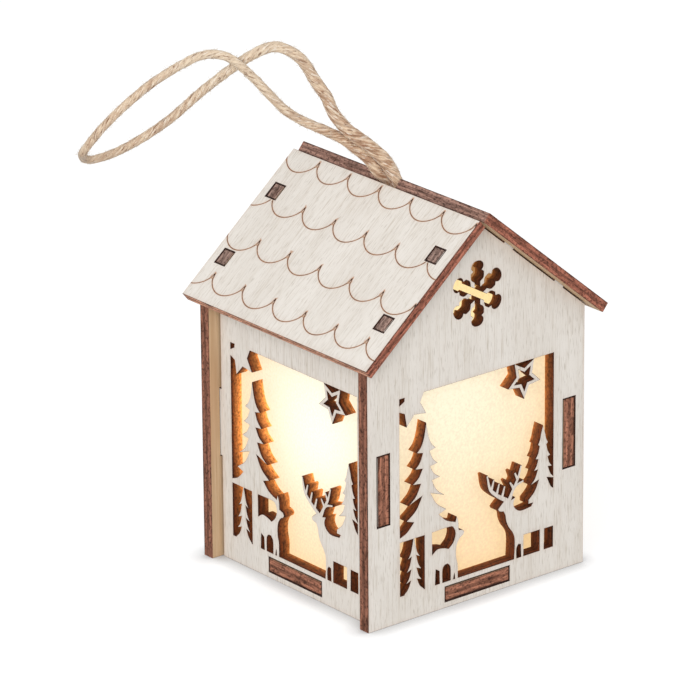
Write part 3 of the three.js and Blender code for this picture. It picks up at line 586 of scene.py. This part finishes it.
def scallopTree():
    tree, sockets, given = newTree("scallopRows", scallops["pattern"])
    values = dict(given.items())
    values["index"] = addNode(tree, "GeometryNodeInputIndex")
    for key, operation, *terms in (
        # one scallop, hanging from a pointed cusp at either end
        ("steps", "SUBTRACT", "Points", 1), ("share", "DIVIDE", "index", "steps"),
        ("aside", "SUBTRACT", "share", 0.5), ("across", "MULTIPLY", "aside", "Width"),
        ("angle", "MULTIPLY", "share", math.pi), ("folded", "PINGPONG", "angle", math.pi / 2),
        ("sine", "SINE", "folded"), ("rounded", "POWER", "sine", "Roundness"),
        ("down", "MULTIPLY", "rounded", "Drop"),
        # its place in a row, and the row's place on the slope
        ("total", "MULTIPLY", "Rows", "Per row"), ("rows", "DIVIDE", "index", "Per row"),
        ("row", "FLOOR", "rows"), ("inRow", "MODULO", "index", "Per row"), ("odd", "MODULO", "row", 2),
        ("shifted", "MULTIPLY_ADD", "odd", 0.5, "inRow"), ("alongRow", "MULTIPLY", "shifted", "Width"),
        ("downSlope", "MULTIPLY", "row", "Row pitch"),
    ):
        inputs = {k: values.get(term, term) for k, term in enumerate(terms)}
        values[key] = addNode(tree, "ShaderNodeMath", inputs, operation=operation)
    lines = []
    for count, x, y in (("Points", "across", "down"), ("total", "alongRow", "downSlope")):
        line = addNode(tree, "GeometryNodeMeshLine", {"Count": values[count], "Offset": (0, 0, 0)})
        place = addNode(tree, "ShaderNodeCombineXYZ", {"X": values[x], "Y": values[y]})
        lines.append(addNode(tree, "GeometryNodeSetPosition", {"Geometry": line, "Position": place}))
    scallop, spots = lines
    placed = addNode(tree, "GeometryNodeInstanceOnPoints", {"Points": spots, "Instance": scallop})
    real = addNode(tree, "GeometryNodeRealizeInstances", {"Geometry": placed})
    painted = addNode(tree, "GeometryNodeSetMaterial", {"Geometry": real, "Material": finishes["burntLine"]})
    addNode(tree, "NodeGroupOutput", {0: painted})
    return tree, sockets


# Outline loops of a panel's shown face, in mm across and along it, with the material on the left of each
# loop, and how far out its two faces are
def readOutline(node, axes):
    mesh = mergedCopy(node)
    mesh.verts.index_update()
    place = np.array([v.co for v in mesh.verts]) @ np.array(axes).T / mm
    low, top = place[:, 2].min(), place[:, 2].max()
    edges = set()
    for face in mesh.faces:
        corners = [v.index for v in face.verts]
        if all(place[i][2] > top - 0.01 for i in corners):
            edges |= set(zip(corners, corners[1:] + corners[:1]))
    mesh.free()
    onward = {}
    for a, b in sorted(edges):
        if (b, a) not in edges:
            onward.setdefault(a, []).append(b)
    loops = []
    while onward:
        start = min(onward)
        loop = [start]
        while True:
            nexts = onward[loop[-1]]
            point = nexts.pop()
            if not nexts:
                del onward[loop[-1]]
            if point == start:
                break
            loop.append(point)
        loops.append(place[loop][:, :2])
    return loops, low, top


# The sides before and after each corner of a loop, and their cross product
def sidesAt(loop):
    before, after = loop - np.roll(loop, 1, axis=0), np.roll(loop, -1, axis=0) - loop
    return before, after, before[:, 0] * after[:, 1] - before[:, 1] * after[:, 0]


def withoutStraightPoints(loop):
    before, after, bend = sidesAt(loop)
    size = np.linalg.norm(before, axis=1) * np.linalg.norm(after, axis=1)
    return loop[np.abs(bend) > 0.01 * size]


# Gentle turns become curves, sharp corners stay, and long sides stay straight
def softened(loop):
    before, after, bend = sidesAt(loop)
    sharp = np.abs(np.arctan2(bend, (before * after).sum(1))) > plywood["sharpTurn"]
    points = []
    for i, a in enumerate(loop):
        j = (i + 1) % len(loop)
        b = loop[j]
        side = b - a
        length = np.linalg.norm(side)
        if length > plywood["longSide"] or (sharp[i] and sharp[j]):
            count = max(1, math.ceil(length / plywood["edgeStep"]))
            points += [a + side * k / count for k in range(count)]
            continue
        ways = []
        for end, corner in ((i, sharp[i]), (j, sharp[j])):
            way = side if corner else loop[(end + 1) % len(loop)] - loop[end - 1]
            ways.append(way / np.linalg.norm(way) * length)
        count = max(3, math.ceil(length / (0.6 * plywood["edgeStep"])))
        points += [smoothStretch(k / count, a, b, *ways) for k in range(count)]
    return np.array(points)


def inset(loop, distance):
    after = unit(np.roll(loop, -1, axis=0) - loop)
    normal = np.stack([-after[:, 1], after[:, 0]], axis=1)
    before = np.roll(normal, 1, axis=0)
    mitre = (normal + before) / np.maximum(1 + (normal * before).sum(1), 0.35)[:, None]
    return loop + mitre * distance


def insideOf(points, loops):
    inside = np.zeros(len(points), bool)
    for loop in loops:
        for (ax, ay), (bx, by) in zip(loop, np.roll(loop, -1, axis=0)):
            if ay != by:
                crosses = (points[:, 1] < ay) != (points[:, 1] < by)
                inside ^= crosses & (points[:, 0] < ax + (points[:, 1] - ay) / (by - ay) * (bx - ax))
    return inside


# Distance from each point to the nearest target, and which target that is
def nearestTo(points, targets):
    tree = KDTree(len(targets))
    for i, p in enumerate(targets):
        tree.insert((p[0], p[1], 0), i)
    tree.balance()
    found = [tree.find((p[0], p[1], 0))[1:] for p in points]
    return np.array([f[1] for f in found]), np.array([f[0] for f in found], int)


# Triangles over the face inside the loops, with extra points and lines kept as edges
def fillFace(loops, extra, lines=()):
    points, edges = [], []
    for chain, closed in [(loop, True) for loop in loops] + [(line, False) for line in lines]:
        start, count = len(points), len(chain)
        points += [Vector(p) for p in chain]
        edges += [(start + k, start + (k + 1) % count) for k in range(count if closed else count - 1)]
    points += [Vector(p) for p in extra]
    found, _, faces, origins, _, _ = delaunay_2d_cdt(points, edges, [], 0, 1e-5, True)
    flat = np.array([tuple(p) for p in found])
    faces = np.array(faces)
    faces = faces[insideOf(flat[faces].mean(axis=1), loops)]
    # only the points in use, and where each given point went
    used, faces = np.unique(faces, return_inverse=True)
    where = {old: new for new, kept in enumerate(used) for old in origins[kept]}
    return flat[used], faces.reshape(-1, 3), where


# Engraved lines of one roof: five chains side by side across each groove, the points beside it, and its
# middle line with the half width there and the nearness to a cusp
def scallopLines():
    s, pattern = scallops, scallops["pattern"]
    drawn = bakeTree("scallopLines", bpy.data.meshes.new("scallopBase"), *scallopTree(), pattern)
    spots = np.array([v.co[:2] for v in drawn.data.vertices]).reshape(-1, pattern["Points"], 2)
    bpy.data.objects.remove(drawn)
    ridge = twine["apex"] * math.sin(pitch) - s["firstRow"]
    middle = (pattern["Per row"] - 1) / 2 * pattern["Width"]
    chains = np.stack([spots[..., 0] - middle, ridge - spots[..., 1]], axis=2)
    along = np.cumsum(np.linalg.norm(np.diff(chains[0], axis=0, prepend=chains[0][:1]), axis=1))
    cusp = np.exp(-(np.minimum(along, along[-1] - along) / s["cuspReach"]) ** 2)
    half = s["lineWidth"] / 2 * (1 + s["cuspSwell"] * cusp)
    steps = np.arange(len(half))
    fine = np.linspace(0, steps[-1], 8 * steps[-1] + 1)
    lines, beside, centres = [], [], []
    for chain in chains:
        way = unit(np.gradient(chain, axis=0))
        normal = np.stack([-way[:, 1], way[:, 0]], axis=1) * half[:, None]
        lines += [chain + normal * k for k in (-1, -0.5, 0, 0.5, 1)]
        beside += [chain + normal * k for k in (-s["beside"], s["beside"])]
        centres.append(np.column_stack([np.interp(fine, steps, part) for part in chain.T]))
    beside, centres = np.vstack(beside), np.vstack(centres)
    halves, cusps = (np.tile(np.interp(fine, steps, values), len(chains)) for values in (half, cusp))
    distance, which = nearestTo(beside, centres)
    return {"lines": lines, "beside": beside[distance > 2 * halves[which]], "centres": centres,
            "halves": halves, "cusps": cusps}


plyAndSheet = (limewashedBirch, bareBirch, charredEdge, burntLine, frostedSheet)
finishes = {make.__name__: make() for make in plyAndSheet}
engraved = scallopLines()


def gableTop(x):
    return gableApex - np.abs(x) * math.tan(pitch)


# Tone of a cut edge at each point of a loop, the lamp's light on it and the width of its rim
def edgeLook(name, loop):
    p = plywood
    after = unit(np.roll(loop, -1, axis=0) - np.roll(loop, 1, axis=0))
    x, y = np.abs(loop[:, 0]), loop[:, 1]
    turned = np.roll(loop, -1, axis=0)
    hole = (loop[:, 0] * turned[:, 1] - turned[:, 0] * loop[:, 1]).sum() < 0
    slot = hole and ("Roof" in name or x.min() > p["slotsBeyond"] or y.max() < p["slotsBelow"])
    glow = np.zeros(len(loop))
    keys = np.full(len(loop), "wallEdge", object)
    if slot:
        # slot walls take the near-black tone: burnt edge and painted shadow of the gap round the tab
        keys[:] = "slot"
    elif hole and name in cutGlow:
        strength, middle, reach = cutGlow[name]
        if np.ptp(loop, axis=0).max() < p["smallHole"]:
            strength *= p["smallHoleLight"]
        patch = np.exp(-(((loop - middle) / reach) ** 2).sum(1))
        glow = strength * (p["dimmest"] + (1 - p["dimmest"]) * patch)
        keys[:] = "window"
        if y.min() > p["snowflakeFrom"]:
            keys[:], glow[:] = "snowflake", p["snowflakeGlow"]
    elif "Roof" in name:  # the loop runs across at the ridge and the eave, and up or down at the gables
        keys = np.where(np.abs(after[:, 1]) > 0.7, "gableEnd", np.where(after[:, 0] < 0, "ridge", "eave"))
    elif name == "floorPlate":
        keys[(x > p["floorTabs"][0]) | (np.abs(y) > p["floorTabs"][1])] = "tabEnd"
    elif name in ("leftWall", "rightWall"):
        keys[x > p["wallTabs"]] = "tabEnd"
    else:
        keys[y > gableTop(x) + p["roofTabs"]] = "roofTab"
    tones = np.array([linear(p["tones"][key]) for key in keys])
    return {"tones": tones, "glow": glow, "rim": p["slotRim" if slot else "rim"], "hole": hole}


# A panel's loop at its inner face: the gables reach up to the roof there
def innerLoop(name, loop):
    loop = loop.copy()
    if name in ("frontWall", "backWall"):
        loop[np.abs(loop[:, 1] - gableTop(loop[:, 0])) < plywood["slack"], 1] += plywood["seat"]
    return loop


limed, bare, charred, burnt = range(4)  # a panel's materials
coats = [finishes[key] for key in ("limewashedBirch", "bareBirch", "charredEdge", "burntLine")]


def makePanel(number, node, name, out, grain):
    out, grain = Vector(out), Vector(grain)
    across = grain.cross(out)
    loops, low, top = readOutline(node, (across, grain, out))
    loops = [softened(withoutStraightPoints(loop)) for loop in loops]
    if name in ("leftWall", "rightWall"):  # a dark joint line beside the gables
        for loop in loops:
            ends = np.abs(np.abs(loop[:, 0]) - plywood["sideEnd"]) < plywood["slack"]
            loop[ends, 0] -= np.sign(loop[ends, 0]) * plywood["gap"]
    looks = [edgeLook(name, loop) for loop in loops]
    rim = plywood["rim"]
    faceLoops = [inset(loop, look["rim"]) for loop, look in zip(loops, looks)]
    border = np.vstack(loops)
    # points over the face: an even grid of triangles, and a row close to every cut edge
    step = plywood["gridStep"]
    x0, y0 = border.min(axis=0)
    x1, y1 = border.max(axis=0)
    grid = [(x + (row % 2) * step / 2, y) for row, y in enumerate(np.arange(y0, y1, step * 0.87))
            for x in np.arange(x0, x1, step)]
    near = np.vstack([inset(loop, look["rim"] + plywood["scorchReach"]) for loop, look in zip(loops, looks)])
    extra = np.vstack([np.array(grid), near])
    lines = []
    if "Roof" in name:
        lines = engraved["lines"]
        apart = nearestTo(extra, engraved["centres"])[0] > 4 * engraved["halves"].min()
        extra = np.vstack([extra[apart], engraved["beside"]])
    extra = extra[insideOf(extra, loops)]
    extra = extra[nearestTo(extra, border)[0] > 0.6 * plywood["scorchReach"]]
    flat, faces, where = fillFace(faceLoops, extra, lines)
    vertices = np.column_stack([flat, np.full(len(flat), top)])
    scorch = plywood["scorchMost"] * np.exp(-nearestTo(flat, border)[0] / plywood["scorchReach"])
    faceMaterials = np.full(len(faces), bare if name == "floorPlate" else limed)
    if lines:
        distance, which = nearestTo(flat, engraved["centres"])
        share = distance / engraved["halves"][which]
        vertices[:, 2] -= scallops["lineDepth"] * np.sqrt(np.clip(1 - share**2, 0, 1))
        tinged = np.maximum(scorch, scallops["scorch"] * np.exp(-(share - 1) / 2))
        scorch = np.where(share < 1.02, 1 + engraved["cusps"][which], tinged)
        distance, which = nearestTo(flat[faces].mean(axis=1), engraved["centres"])
        faceMaterials[distance < 0.95 * engraved["halves"][which]] = burnt
    allFaces = [tuple(f) for f in faces]
    materials = list(faceMaterials)
    tones, glow = np.ones((len(vertices), 4)), np.zeros(len(vertices))
    rings = []
    start = 0
    for loop, look in zip(loops, looks):
        rings.append([where[start + k] for k in range(len(loop))])
        tones[rings[-1]], glow[rings[-1]] = look["tones"], look["glow"]
        start += len(loop)
    # eased rim, cut edge and the other rim, then the inner face
    innerLoops = [loop if look["hole"] else innerLoop(name, loop) for loop, look in zip(loops, looks)]
    innerFaceLoops = [inset(loop, rim) for loop in innerLoops]
    for level, shapes in ((top - rim, loops), (low + rim, innerLoops), (low, innerFaceLoops)):
        for r, shape in enumerate(shapes):
            base = len(vertices)
            vertices = np.vstack([vertices, np.column_stack([shape, np.full(len(shape), level)])])
            tones, glow = np.vstack([tones, looks[r]["tones"]]), np.concatenate([glow, looks[r]["glow"]])
            ring = list(range(base, base + len(shape)))
            upper = rings[r]
            count = len(ring)
            for k in range(count):
                allFaces.append((upper[k], ring[k], ring[(k + 1) % count], upper[(k + 1) % count]))
                materials.append(charred)
            rings[r] = ring
    inner, innerFaces, innerWhere = fillFace(innerFaceLoops, [])
    index = np.zeros(len(inner), int) - 1
    start = 0
    for ring in rings:
        for k, vertex in enumerate(ring):
            index[innerWhere[start + k]] = vertex
        start += len(ring)
    loose = np.flatnonzero(index < 0)
    index[loose] = len(vertices) + np.arange(len(loose))
    vertices = np.vstack([vertices, np.column_stack([inner[loose], np.full(len(loose), low)])])
    tones, glow = np.vstack([tones, np.ones((len(loose), 4))]), np.concatenate([glow, np.zeros(len(loose))])
    for f in innerFaces:
        allFaces.append(tuple(index[f[::-1]]))
        materials.append(bare)
    panel = newMesh(name, vertices @ np.array((across, grain, out)) * mm, allFaces, coats, materials)
    places = (vertices - (0, 0, low)) * (1, 1, 3 / (top - low))  # 3 at the shown face of any sheet
    places[:, :2] += number * 137  # each panel shows its own stretch of grain
    setAttribute(panel, "plyPlace", "FLOAT_VECTOR", places)
    setAttribute(panel, "scorch", "FLOAT", np.concatenate([scorch, np.zeros(len(vertices) - len(scorch))]))
    setAttribute(panel, "edgeTone", "FLOAT_COLOR", tones)
    setAttribute(panel, "edgeGlow", "FLOAT", glow)
    standFor(panel, "birch_ply" if name == "floorPlate" else "whitewashed_ply", node)
    print(f"{name}: {len(panel.data.polygons)} faces")


for number, panel in enumerate(panels):
    makePanel(number, *panel)

# Frosted sheets: the glow far from the lamp, and bright patches: middle and reach in mm, colour, strength
sheets = {
    "front_diffuser": ("frontSheet", "#f9d6a8", [((-6, -26, 52), 32, "#fcf2d8", 1)]),
    "back_diffuser": ("backSheet", "#f9d6a8", [((6, 26, 52), 32, "#fcf2d8", 1)]),
    "left_diffuser": ("leftSheet", "#fbdcae", [((-25, -6, 42), 26, "#fefae6", 1),
                                               ((-25, -4, 34), 13, "#ffffff", 0.12)]),
    "right_diffuser": ("rightSheet", "#fadaa0", [((25, 4, 40), 28, "#fff2c8", 1)]),
}
sheetLook = {"step": 1.2 * mm, "rim": 0.1 * mm, "reflected": 0.19}


def makeSheet(node, name, far, patches):
    mesh = mergedCopy(node)
    bmesh.ops.dissolve_limit(mesh, angle_limit=0.01, verts=mesh.verts, edges=mesh.edges)
    bmesh.ops.bevel(mesh, geom=mesh.edges, offset=sheetLook["rim"], segments=2, affect="EDGES", profile=0.5)
    low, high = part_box(node)
    for axis in range(3):
        if high[axis] - low[axis] < 2 * mm:
            continue
        normal = Vector((0, 0, 0))
        normal[axis] = 1
        count = round((high[axis] - low[axis]) / sheetLook["step"])
        for k in range(1, count):
            place = low.copy()
            place[axis] = low[axis] + (high[axis] - low[axis]) * k / count
            everything = [*mesh.verts, *mesh.edges, *mesh.faces]
            bmesh.ops.bisect_plane(mesh, geom=everything, plane_co=place, plane_no=normal)
    sheet = pieceFrom(name, mesh)
    sheet.data.materials.append(finishes["frostedSheet"])
    places = np.array([v.co for v in sheet.data.vertices]) / mm
    colours = np.tile(linear(far)[:3], (len(places), 1))
    for middle, reach, tone, strength in patches:
        share = strength * np.exp(-((np.linalg.norm(places - middle, axis=1) / reach) ** 2))
        under = linear(far)[:3] if strength == 1 else [0, 0, 0]  # a weaker patch only adds to what is there
        colours += share[:, None] * (np.array(linear(tone)[:3]) - under)
    colours = np.maximum(colours - sheetLook["reflected"], 0)
    setAttribute(sheet, "glow", "FLOAT_COLOR", np.column_stack([colours, np.ones(len(colours))]))
    standFor(sheet, "frosted_film", node)
    print(f"{name}: {len(sheet.data.polygons)} faces")


for node, sheet in sheets.items():
    makeSheet(node, *sheet)

# Finishes of the battery lamp in the floor: the name, two near tones, grain in mm, and the shader's values
lampFinishes = {
    # moulded white ABS, fine spark-eroded texture
    "white_plastic": ("mouldedAbs", "#ecebe4", "#e2e0d8", (0.3, 0.3, 0.3), {"Roughness": 0.45}),
    # moulded black nylon, slightly dusty
    "black_plastic": ("blackNylon", "#1d1d1e", "#28282a", (0.4, 0.4, 0.4), {"Roughness": 0.55}),
    # clear warm epoxy of the lit diode
    "warm_lens": ("warmEpoxy", "#ffe2ae", "#ffd694", (1, 1, 1),
                  {"Roughness": 0.15, "Emission_Color": linear("#ffcf7a"), "Emission_Strength": 2}),
    # green solder mask over laminate
    "board_laminate": ("solderMask", "#215c30", "#1c5029", (0.25, 0.25, 2), {"Roughness": 0.35}),
    # nickel-plated spring strip, rolled along its length
    "nickel_contact": ("nickelStrip", "#c3c4c2", "#adafae", (0.1, 3, 0.1), {"Roughness": 0.3, "Metallic": 1}),
    # drawn steel can of the coin cell
    "cell_steel": ("drawnSteel", "#bcbdc0", "#a4a6a9", (2, 0.15, 0.15), {"Roughness": 0.32, "Metallic": 1}),
    # zinc-plated screw steel
    "screw_steel": ("zincPlate", "#b4b6b9", "#96999d", (0.2, 0.2, 0.2), {"Roughness": 0.38, "Metallic": 1}),
}


# A fine pattern of two tones, with a matching unevenness
def lampFinish(name, light, dark, grain, sockets):
    material, tree, shader = newMaterial(name, **sockets)
    where = addNode(tree, "ShaderNodeTexCoord").outputs["Object"]
    pattern = noisePatterns(tree, where, {"grain": ([g * mm for g in grain], 3)})["grain"]
    cover(tree, shader, layOver(tree, linear(light), (dark, pattern, 0.3, 0.7, 1)), pattern, 0.03, 0.4)
    return material


finishes |= {slot: lampFinish(*finish) for slot, finish in lampFinishes.items()}
fittings = [
    # node, piece, slot, eased edge in mm, and the body where it isn't the house
    ("lamp_housing", "lampHousing", "white_plastic", 0.15),
    ("lamp_base", "lampBase", "white_plastic", 0.12),
    ("battery_cap", "batteryCap", "white_plastic", 0.12, "cap"),
    ("button_cell", "buttonCell", "cell_steel", 0.15),
    ("battery_holder", "batteryHolder", "black_plastic", 0.1),
    ("negative_contact", "negativeContact", "nickel_contact", 0.04),
    ("positive_contact", "positiveContact", "nickel_contact", 0.04),
    ("circuit_board", "circuitBoard", "board_laminate", 0.05),
    ("led_bulb", "diode", "warm_lens", 0.06),
    ("switch_shell", "switchShell", "nickel_contact", 0.05),
    ("switch_slider", "switchSlider", "black_plastic", 0.08, "slider"),
    ("front_flange_screw", "frontFlangeScrew", "screw_steel", 0.06),
    ("back_flange_screw", "backFlangeScrew", "screw_steel", 0.06),
    ("front_board_screw", "frontBoardScrew", "screw_steel", 0.06),
    ("back_board_screw", "backBoardScrew", "screw_steel", 0.06),
]


def makeFitting(node, name, slot, eased, body="house"):
    mesh = mergedCopy(node)
    bmesh.ops.dissolve_limit(mesh, angle_limit=0.005, verts=mesh.verts, edges=mesh.edges)
    fitting = pieceFrom(name, mesh)
    modifier = fitting.modifiers.new("easedEdges", "BEVEL")
    modifier.width = eased * mm
    modifier.segments = 2
    modifier.limit_method = "ANGLE"
    modifier.angle_limit = math.radians(30)
    modifier.use_clamp_overlap = True
    bakeModifier(fitting, modifier, name)
    fitting.data.materials.clear()
    fitting.data.materials.append(finishes[slot])
    fitting.data.polygons.foreach_set("use_smooth", np.ones(len(fitting.data.polygons), bool))
    fitting.data.set_sharp_from_angle(angle=math.radians(35))
    standFor(fitting, slot, node, body=body)


for fitting in fittings:
    makeFitting(*fitting)
print(f"lamp fitted: {len(fittings)} pieces")

# Floor, light and background
stage = {
    "size": 6,
    "floorTone": 0.5,
    "floorGlow": 0.66,
    "shade": 5 * mm,
    "shadePower": 1.7,
    "sky": 0.62,
    "aim": Vector((0, 0, 0.05)),
    # place, size and watts
    "softboxes": {"keyLight": ((-1.12, -0.9, 0.62), 1.1, 13.8), "fillLight": ((0.9, -0.8, 0.7), 0.8, 2)},
}


# 1 for what is seen straight on, in a gloss or through glass, else 0
def seenDirectly(tree):
    path = addNode(tree, "ShaderNodeLightPath").outputs
    seen = path["Is Camera Ray"]
    for ray in ("Is Glossy Ray", "Is Transmission Ray"):
        seen = addNode(tree, "ShaderNodeMath", {0: seen, 1: path[ray]}, operation="MAXIMUM")
    return seen


def makeStage():
    s = stage["size"]
    floor = newMesh("floor", [(-s, -s, 0), (s, -s, 0), (s, s, 0), (-s, s, 0)], [(0, 1, 2, 3)], [])
    material, tree, shader = newMaterial("paleFloor")
    tree.nodes.remove(shader)
    lit = addNode(tree, "ShaderNodeBsdfDiffuse", {"Color": [stage["floorTone"]] * 3 + [1]})
    shade = addNode(tree, "ShaderNodeAmbientOcclusion", {"Distance": stage["shade"]}, samples=8)
    level = addNode(tree, "ShaderNodeMath", {0: seenDirectly(tree), 1: stage["floorGlow"]},
                    operation="MULTIPLY")
    deep = addNode(tree, "ShaderNodeMath", {0: shade.outputs["AO"], 1: stage["shadePower"]},
                   operation="POWER")
    shaded = addNode(tree, "ShaderNodeMath", {0: level, 1: deep}, operation="MULTIPLY")
    white = addNode(tree, "ShaderNodeEmission", {"Strength": shaded})
    both = addNode(tree, "ShaderNodeAddShader", {0: lit, 1: white})
    tree.links.new(both.outputs[0], tree.nodes["Material Output"].inputs["Surface"])
    floor.data.materials.append(material)
    world = bpy.data.worlds.new("studio")
    scene.world = world
    world.use_nodes = True
    tree = world.node_tree
    limits = {"Value": seenDirectly(tree), "To Min": stage["sky"], "To Max": 1}
    level = addNode(tree, "ShaderNodeMapRange", limits)
    tree.links.new(level.outputs[0], tree.nodes["Background"].inputs["Strength"])
    tree.nodes["Background"].inputs["Color"].default_value = (1, 1, 1, 1)


def addSoftbox(name, place, size, watts):
    data = bpy.data.lights.new(name, "AREA")
    data.size = size
    data.energy = watts
    lamp = newObject(name, data)
    lamp.location = place
    lamp.rotation_euler = (stage["aim"] - Vector(place)).to_track_quat("-Z", "Y").to_euler()


makeStage()
for name, softbox in stage["softboxes"].items():
    addSoftbox(name, *softbox)
print("stage lit")
